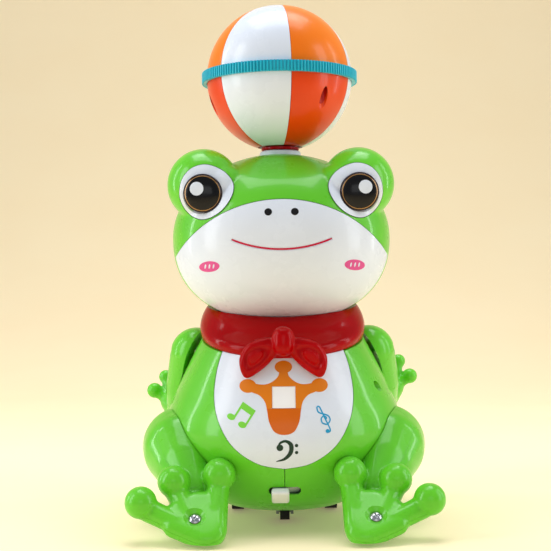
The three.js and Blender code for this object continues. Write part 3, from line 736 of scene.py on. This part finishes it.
# ---- Neckerchief ----
# One red glossy moulding that hides the joint of head and body: a rolled collar, a knot and
# two leaf-shaped tails with a pressed-in loop. It sits on the ledge of the body.
red = plastic("red", (176, 0, 4), (150, 0, 3), gloss=0.2, tone=0.7, coat=0.12, dust=0.0, ior=1.15)


def head_profile(offset, steps=64):
    """The head's outline: a half circle above, and a fuller one below the widest line."""
    points = []
    for i in range(steps + 1):
        turn = -math.pi / 2 + math.pi * i / steps
        fullness = 2 / 2.3 if turn < 0 else 1
        height = 41.8 if turn < 0 else 41.6
        across = 0 if i in (0, steps) else math.cos(turn) ** fullness
        up = math.copysign(abs(math.sin(turn)) ** fullness, turn)
        points.append(((53.8 + offset) * across, 137 + (height + offset) * up))
    return points


def skull(offset, segments=128):
    return turned(head_profile(offset), segments, 0.9, -2)


roll = flowing([
    (33.6, 89), (36.5, 88.6), (39.4, 89.0), (40.6, 91.4), (40.9, 94.6), (40.2, 98), (38.8, 101.2),
    (36.9, 103.8), (34.4, 105.6), (31.4, 106.8), (27.4, 107.4), (26.4, 106.2), (30.4, 104),
    (32.8, 100),
], 4)
collar = turned(roll, 160, 1.1, -1.5, closed=True)
# Towards its rim the roll is drawn in to the neck and sinks at the front.
for v in collar.verts:
    rise = min(max((v.co.z - 91) / 12, 0), 1)
    rise *= rise * (3 - 2 * rise)
    v.co.y *= 1 - 0.13 * rise
    v.co.z -= 3.6 * rise * min(max(-v.co.y / 30, 0), 1)
collar.transform(lean)
creases = []
for side in (-1, 1):
    for crease in (
        ((4, -45.4, 90.0, 2.2), (12, -44.6, 90.6, 1.9), (24, -38.0, 92.6, 0.9)),
        ((5, -46.8, 85.6, 1.9), (13, -46.0, 85.8, 1.6), (25, -39.8, 86.8, 0.7)),
    ):
        creases.append(hull([(side * x, y, z, radius) for x, y, z, radius in crease], 12))
collar = cut(collar, *creases)
knot = hull([(0, -48.6, 89.9, 5.2), (0, -49.2, 86.5, 5.2)], 32)
pleats = [
    hull([(side * 1.7, -55.4, 95, 1.5), (side * 1.1, -56.2, 88, 1.3), (side * 1.7, -55.4, 81, 1.5)], 12)
    for side in (-1, 1)
]
knot = cut(knot, *pleats)
leaf = flowing([
    (2.0, 89.0), (10.4, 89.6), (17.4, 85.8), (20.2, 79.4), (17.6, 71.6), (11.0, 74.4), (6.0, 78.6),
    (2.0, 84),
], 6)
about_middle = [(x - 12.2, z - 81.4) for x, z in leaf]
groove_rim = turned_about(about_middle, 12.9, 81.2, 0, 0.6)
groove_core = turned_about(about_middle, 12.9, 81.2, 0, 0.34)
tails = []
for side in (-1, 1):
    puff = hull([
        (side * 4, -45.2, 86.5, 5.4), (side * 12.5, -45, 82.5, 8), (side * 16.6, -46, 76.8, 6.2),
    ], 32)
    loop = cut(prism([(side * x, z) for x, z in groove_rim], -70, -40),
               prism([(side * x, z) for x, z in groove_core], -70, -40), grown(puff.copy(), -1.2))
    tails.append(cut(common(prism([(side * x, z) for x, z in leaf], -60, -44), puff), loop))
scarf = molten(join(molten(join(collar, *tails), 0.5, 2), knot), 0.5, 2)
scarf = cut(scarf, common(turned(pear_profile(0.5 + gap), 144), below_ledge(ledge + gap)), skull(0.9),
            common(rod("z", neck_radius + gap, 60, 96, 0, 0, 96), below_ledge(97.6)))
finish(scarf, "scarf", "body", red, ["neckerchief"])

# ---- Head ----
# Two glossy green ABS shells, split front and back, with two round eye domes on top. The head
# is pushed over the body's neck spigot and glued.
eye_x, eye_y, eye_z = 37.2, -19, 162.2
domes = []
for side in (-1, 1):
    domes.append(hull([(side * eye_x, eye_y, eye_z, 17.6)], 64))
    domes.append(hull([(side * 29, -24, 160, 12.5)], 48))
head_skin = molten(join(skull(0), *domes), 0.75, 6)
proud_skin = grown(head_skin.copy(), 0.7)
under_skin = grown(head_skin.copy(), -1.6)
eye_outline = flowing([
    (47.9, 157), (46.4, 164), (42, 169), (35.6, 170.8), (29.2, 169), (24.6, 165.4), (22.3, 161),
    (23, 155.6), (26.6, 150), (31.6, 146.3), (37, 145), (42, 146.8), (46, 151),
], 6)
outline_x, outline_z = 35.2, 158
# The face plate's upper edge is an arc of this radius about this height.
brow_radius, brow_z = 64.4, 88.9
seam_front, seam_back = -8.15, -7.85
face_disc = join(rod("y", brow_radius, -90, -16, 0, brow_z, 192),
                 block(-26, 26, -90, seam_front, 60, 104))
seat_hole = rod("z", 10.6, 165, 190, 0, 0, 64)
spigot_hole = rod("z", 11.3, 90, 112, 0, 0, 64)
hollow = grown(common(under_skin.copy(), block(-90, 90, -90, 90, 60, 200)), -0.8)
for name, y0, y1 in (("head_front", -90, seam_front), ("head_back", seam_back, 90)):
    part = cut(common(head_skin.copy(), block(-90, 90, y0, y1, 60, 200)), hollow.copy(),
               seat_hole.copy(), spigot_hole.copy())
    if name == "head_front":
        sockets = []
        for side in (-1, 1):
            outline = [(side * x, z) for x, z in eye_outline]
            outline = spread(outline, gap, (side * outline_x, outline_z))
            sockets.append(prism(outline, -90, -24))
        part = cut(part, rod("y", 64.7, -90, -15.7, 0, brow_z, 192),
                   block(-26.3, 26.3, -90, -7, 60, 104.3), *sockets)
    finish(part, name, "body", green, [f"{name}_shell"])
hollow.free()

# ---- Face ----
# A white ABS plate snapped into the front of the head, with a moulded mouth groove filled with
# crimson ink, printed nostrils and cheeks.
face = cut(common(proud_skin.copy(), face_disc), under_skin.copy(), spigot_hole)
mouth_half, mouth_radius, mouth_z = 23.1, 58, 188.3
mouth_points = []
for i in range(-12, 13):
    x = mouth_half * i / 12
    mouth_points.append((x, mouth_z - math.sqrt(mouth_radius ** 2 - x ** 2)))
mouth_width = [0.5] + [0.85] * 23 + [0.5]


def face_skin(outer, inner):
    """A thin shell round the head, between two offsets of its skin."""
    return cut(grown(head_skin.copy(), outer), grown(head_skin.copy(), inner))


groove = stroke(mouth_points, [w + 0.7 for w in mouth_width], 2, -90, -20)
face = cut(face, common(groove, face_skin(2, 0.35)))
finish(face, "face", "body", white, ["face_plate"])
crimson = plastic("ink_crimson", (200, 12, 62), (188, 8, 52), gloss=0.26, dust=0.0, coat=0.3)
lips = common(stroke(mouth_points, mouth_width, 2, -90, -20), face_skin(0.5, 0.1))
finish(lips, "mouth", "body", crimson)
nose_black = plastic("ink_black", (16, 14, 16), (10, 9, 10), gloss=0.3, dust=0.0, coat=0.3)
print_skin = face_skin(0.78, 0.4)
nostrils = [oval(side * 6.1, 147.4, 1.75, 1.7, 0, 32, -90, -20) for side in (-1, 1)]
finish(common(join(*nostrils), print_skin.copy()), "nostrils", "body", nose_black)
pink = plastic("ink_pink", (222, 80, 150), (212, 70, 140), gloss=0.3, dust=0.0, coat=0.2)
dashes, cheeks = [], []
for side in (-1, 1):
    cheeks.append(oval(side * 34, 122.8, 5.0, 2.5, -side * 3, 48, -90, -10))
    for k in (-1, 0, 1):
        dashes.append(oval(side * 34 + k * 2.0 + 0.1, 122.9, 0.42, 1.1, -14, 20, -90, -10))
blush = cut(join(cheeks[0], cheeks[1]), *dashes)
finish(common(blush, print_skin), "cheeks", "body", pink)

# ---- Eyes ----
# A white inlay in each dome, a glossy black iris with a thin gold ring and a brown rim, and a
# white printed spark.
iris_black = plastic("iris_black", (8, 7, 8), (12, 7, 8), gloss=0.2, dust=0.0, coat=0.15, peel=0.02)
iris_rim = plastic("iris_rim", (48, 16, 18), (30, 12, 16), gloss=0.2, tone=0.9, dust=0.0, coat=0.15)
gold = plastic("ink_gold", (176, 132, 74), (150, 104, 54), gloss=0.25, dust=0.0, coat=0.4,
               metallic=0.4)
iris_x, iris_z, iris_radius = 36.7, 157, 9
for side, word in ((1, "right"), (-1, "left")):
    outline = [(side * x, z) for x, z in eye_outline]
    eye = common(proud_skin.copy(), prism(outline, -90, -24))
    eye = cut(eye, rod("y", iris_radius + gap, -90, 0, side * iris_x, iris_z, 96))
    finish(eye, f"eye_{word}", "body", white, [f"eye_white_{word}"])
    cup = [(0, -31), (iris_radius, -31), (iris_radius, -38.4), (8.6, -39.1), (7.4, -39.9),
           (5.5, -40.7), (2.8, -41.2), (0, -41.35)]
    cup = turned(flowing(cup, 3, closed=False), 96)
    upright = Matrix.Rotation(-math.pi / 2, 4, "X")
    cup.transform(Matrix.Translation((side * iris_x, 0, iris_z)) @ upright)
    low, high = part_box(f"eye_iris_{word}")
    front_y = (low.y - axis.y) / MM
    ys = min(v.co.y for v in cup.verts)
    bmesh.ops.translate(cup, verts=cup.verts, vec=(0, front_y - ys - 0.3, 0))
    ring_out = rod("y", 8.25, -90, 0, side * iris_x, iris_z, 96)
    ring_in = rod("y", 7.9, -90, 0, side * iris_x, iris_z, 96)
    skin = cut(grown(cup.copy(), 0.06), grown(cup.copy(), -0.3))
    rim = common(skin.copy(), rod("y", 20, -90, front_y + 6, side * iris_x, iris_z))
    finish(cut(rim, ring_out.copy()), f"iris_rim_{word}", "body", iris_rim)
    ring = common(skin.copy(), cut(ring_out, ring_in))
    finish(ring, f"iris_ring_{word}", "body", gold)
    spark = common(skin, rod("y", 3.2, -90, 0, side * 39.3, 159.1, 48))
    finish(spark, f"spark_{word}", "body", white)
    finish(cup, f"iris_{word}", "body", iris_black, [f"eye_iris_{word}"])
for bm in (head_skin, proud_skin, under_skin):
    bm.free()

# ---- Ball seat ----
# A short white collar round the motor's shaft, standing out of the top of the head.
seat = turned([
    (4.4, 171.8), (12, 171.8), (12, 173.2), (10.3, 173.2), (10.3, 179.4), (9.8, 180), (2.8, 180),
    (2.8, 176.5), (4.4, 176.5),
], 64, closed=True)
finish(seat, "seat", "body", white, ["ball_seat"])

# ---- Ball ----
# Two orange ABS hemispheres with snapped-in white gores, clamped on a ribbed ring by three
# screws that are driven up long slots in the lower half. It spins on a red hub.
ball_z = 216.5
ball_radius = 36.1
upper_orange = plastic("orange_upper", (248, 130, 14), (242, 112, 6), tone=0.8, dust=0.01)
# The lower half gets a darker, redder copy of the orange: painted shade, as if it lay in shadow under
# the light from above.
lower_orange_painted_shade = plastic("orange_lower_painted_shade", (232, 70, 2), (222, 58, 0), tone=0.8)
core_red = plastic("core_red", (190, 22, 8), (160, 14, 6), gloss=0.35, coat=0.1)
white_turn, orange_turn = -21, 39   # where the first gore of each colour stands, in degrees
screw_spots = []
for a in (orange_turn, orange_turn + 120, orange_turn + 240):
    screw_spots.append((33 * math.sin(math.radians(a)), -33 * math.cos(math.radians(a))))
channels = [rod("z", 2.1, 150, ball_z - 7.5, x, y) for x, y in screw_spots]


def sphere(radius, segments=144):
    bm = bmesh.new()
    bmesh.ops.create_uvsphere(bm, u_segments=segments, v_segments=segments // 2, radius=radius,
                              matrix=Matrix.Translation((0, 0, ball_z)))
    return bm


def gore(middle, z0, z1):
    """One gore of the ball between two upright planes, with rounded rims."""
    slack = 0.16
    bm = sphere(ball_radius)
    for sign in (-1, 1):
        a = math.radians(middle + sign * (30 - slack))
        along = Vector((math.sin(a), -math.cos(a), 0))
        away = Vector((along.y, -along.x, 0)) * -sign
        geom = bm.verts[:] + bm.edges[:] + bm.faces[:]
        bmesh.ops.bisect_plane(bm, geom=geom, plane_co=(0, 0, ball_z), plane_no=away,
                               clear_outer=True)
    for z, way in ((z0, -1), (z1, 1)):
        geom = bm.verts[:] + bm.edges[:] + bm.faces[:]
        bmesh.ops.bisect_plane(bm, geom=geom, plane_co=(0, 0, z), plane_no=(0, 0, way),
                               clear_outer=True)
    bmesh.ops.remove_doubles(bm, verts=bm.verts, dist=1e-3)
    made = link(bm, "work")
    thick = made.modifiers.new("thick", "SOLIDIFY")
    thick.thickness = 1.2
    thick.offset = -1
    soft = made.modifiers.new("soft", "BEVEL")
    soft.width = 0.22
    soft.segments = 2
    soft.limit_method = "ANGLE"
    soft.angle_limit = math.radians(50)
    return baked(made)


core = cut(sphere(ball_radius - 1.35, 96), sphere(ball_radius - 6, 48),
           block(-60, 60, -60, 60, 150, 182.3), *[c.copy() for c in channels])
finish(core, "ball_core", "ball", core_red)
for half, z0, z1, orange in (
    ("upper", ball_z + 0.5, ball_z + 60, upper_orange),
    ("lower", 182.2, ball_z - 0.5, lower_orange_painted_shade),
):
    for i in range(3):
        finish(gore(white_turn + 120 * i, z0, z1), f"gore_white_{half}_{i + 1}", "ball", white,
               [f"ball_{half}_gore_{i + 1}"])
        panel = gore(orange_turn + 120 * i, z0, z1)
        if half == "lower":
            panel = cut(panel, channels[i])
        nodes = [f"ball_{half}_shell"] if i == 0 else []
        finish(panel, f"gore_orange_{half}_{i + 1}", "ball", orange, nodes)

teal = plastic("teal", (28, 186, 212), (20, 170, 198), gloss=0.34, tone=0.6)
band = turned([
    (34.6, ball_z - 0.3), (36.3, ball_z - 0.6), (36.3, ball_z - 2.5), (38.0, ball_z - 2.6),
    (38.0, ball_z + 2.6), (36.3, ball_z + 2.5), (36.3, ball_z + 0.6), (34.6, ball_z + 0.3),
], 160, closed=True)
finish(band, "ring_band", "ball", teal, ["ball_ring"])
rib_count = 150
ribs = bmesh.new()
for i in range(rib_count):
    place = Matrix.Translation((0, 0, ball_z)) @ Matrix.Rotation(FULL * i / rib_count, 4, "Z")
    place = place @ Matrix.Translation((38.1, 0, 0)) @ Matrix.Diagonal((1.1, 0.95, 5.3, 1))
    bmesh.ops.create_cube(ribs, size=1, matrix=place)
bmesh.ops.bevel(ribs, geom=ribs.edges[:], offset=0.28, segments=2, profile=0.5, affect="EDGES",
                material=-1)
finish(ribs, "ring_ribs", "ball", teal)

hub = turned([
    (2.6, 180.5), (8.9, 180.5), (9.4, 180.9), (9.4, 181.9), (5.1, 181.9), (5.1, 200), (2.6, 200),
], 64, closed=True)
finish(hub, "hub", "ball", red, ["ball_neck"])
for i, (x, y) in enumerate(screw_spots):
    ball_screw = aimed(screw_head(1.8, 1.4, 1.0, 13), (x, y, ball_z - 7.6), (0, 0, -1))
    finish(ball_screw, f"ball_screw_{i + 1}_made", "ball", steel,
           [f"ball_screw_{i + 1}"])

# ---- Inside and underneath ----
# Motors, gear units, cells, board, speaker and wheels keep their plain shapes: they are only
# seen through the slots and from below.
kinds = {
    "grey": plastic("grey_abs", (150, 152, 156), (132, 134, 140), gloss=0.42, coat=0.0, peel=0.15),
    "dark": plastic("dark_abs", (44, 46, 50), (34, 36, 40), gloss=0.45, coat=0.0, peel=0.15),
    "rubber": plastic("rubber", (34, 34, 37), (26, 26, 28), gloss=0.7, coat=0.0, peel=0.3, scale=2),
    "board": plastic("board_green", (24, 98, 54), (18, 82, 44), gloss=0.4, coat=0.2, scale=4),
    "jacket": plastic("cell_foil", (176, 122, 60), (150, 98, 46), gloss=0.3, coat=0.3,
                      metallic=0.6),
    "bright": plastic("bright_steel", (206, 208, 210), (180, 182, 186), gloss=0.2, coat=0.0,
                      metallic=1.0, scale=5),
    "glass": plastic("lamp_epoxy", (250, 246, 232), (240, 234, 216), gloss=0.15, coat=0.4),
}
for kind, slot, names in (
    ("grey", "grey_plastic", ("drive_gear_unit", "switch_body", "caster_fork")),
    ("dark", "black_plastic", ("arm_gear_unit", "battery_box", "speaker")),
    ("rubber", "wheel_rubber", ("drive_wheel_left", "drive_wheel_right", "caster_wheel")),
    ("board", "board", ("circuit_board",)),
    ("jacket", "cell_jacket", ("cell_1", "cell_2", "cell_3")),
    ("bright", "bright_steel",
     ("ball_spindle", "ball_motor", "arm_shaft_left", "arm_shaft_right", "drive_axle")),
    ("glass", "clear_plastic", ("lamp",)),
):
    for name in names:
        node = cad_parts[name]
        node.data.materials.clear()
        node.data.materials.append(kinds[kind])

# ---- Stage ----
# A plain pale floor that curves up into a backdrop, large soft boxes left, right and above.
half_width, bend_start, bend_radius = 2.2, 0.5, 1.3
bend = [math.pi / 2 * i / 40 for i in range(41)]
bend = [(bend_start + bend_radius * math.sin(a), bend_radius - bend_radius * math.cos(a)) for a in bend]
sweep = bmesh.new()
row = [sweep.verts.new((-half_width, y, z)) for y, z in [(-1.8, 0), *bend, (1.8, 2.4)]]
edges = [sweep.edges.new(pair) for pair in zip(row, row[1:])]
drawn = bmesh.ops.extrude_edge_only(sweep, edges=edges)
far_row = [v for v in drawn["geom"] if isinstance(v, bmesh.types.BMVert)]
bmesh.ops.translate(sweep, verts=far_row, vec=(2 * half_width, 0, 0))
bmesh.ops.recalc_face_normals(sweep, faces=sweep.faces)
for face in sweep.faces:
    face.smooth = True
backdrop = link(sweep, "backdrop")
paper = plastic("paper", (252, 234, 196), (250, 229, 188), gloss=0.75, coat=0.0, peel=0.0, dust=0.0,
                scale=0.3)
shader = paper.node_tree.nodes["Principled BSDF"]
shader.inputs["Emission Color"].default_value = srgb(252, 232, 190)
shader.inputs["Emission Strength"].default_value = 0.2
backdrop.data.materials.append(paper)
backdrop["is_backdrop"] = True

scene = bpy.context.scene
target = Vector((0, 0, 0.12))
for name, power, size_x, size_y, spot in (
    ("left_box", 3.4, 0.22, 0.8, (-0.72, -0.25, 0.40)),
    ("right_box", 2.6, 0.22, 0.8, (0.76, -0.22, 0.38)),
    ("top_box", 5.2, 0.7, 0.5, (0.0, 0.1, 0.95)),
    ("front_box", 1.3, 0.8, 0.4, (0.05, -1.35, 0.42)),
    ("left_strip", 1.3, 0.05, 0.7, (-0.72, 0.16, 0.36)),
    ("right_strip", 1.0, 0.05, 0.7, (0.74, 0.16, 0.36)),
):
    lamp = bpy.data.lights.new(name, "AREA")
    lamp.shape = "RECTANGLE"
    lamp.energy, lamp.size, lamp.size_y = power, size_x, size_y
    lamp.color = (0.95, 0.98, 1.0)
    holder = bpy.data.objects.new(name, lamp)
    holder.location = spot
    holder.rotation_euler = (target - Vector(spot)).to_track_quat("-Z", "Y").to_euler()
    scene.collection.objects.link(holder)
    holder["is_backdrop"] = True
wash = bpy.data.lights.new("wash", "AREA")
wash.energy, wash.size = 9, 1.0
washer = bpy.data.objects.new("wash", wash)
washer.location = (0, 0.5, 1.9)
wash_way = Vector((0, 1.9, 0.6)) - Vector(washer.location)
washer.rotation_euler = wash_way.to_track_quat("-Z", "Y").to_euler()
scene.collection.objects.link(washer)
washer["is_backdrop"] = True
world = bpy.data.worlds.new("studio")
world.use_nodes = True
world.node_tree.nodes["Background"].inputs["Color"].default_value = srgb(238, 243, 252)
world.node_tree.nodes["Background"].inputs["Strength"].default_value = 0.42
scene.world = world
scene.view_settings.view_transform = "Standard"
scene.view_settings.exposure = -0.22

# ---- Camera ----
# Level with the chin, a short telephoto view from the front, with a slight lean.
eye = bpy.data.cameras.new("camera")
eye.sensor_width = 36
eye.lens = 74.5
eye.clip_start, eye.clip_end = 0.01, 20
camera = bpy.data.objects.new("camera", eye)
camera.location = (-0.0031, -0.5591, 0.1183)
camera.rotation_euler = (math.radians(90), math.radians(0.7), 0)
scene.collection.objects.link(camera)
scene.camera = camera

low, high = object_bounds()
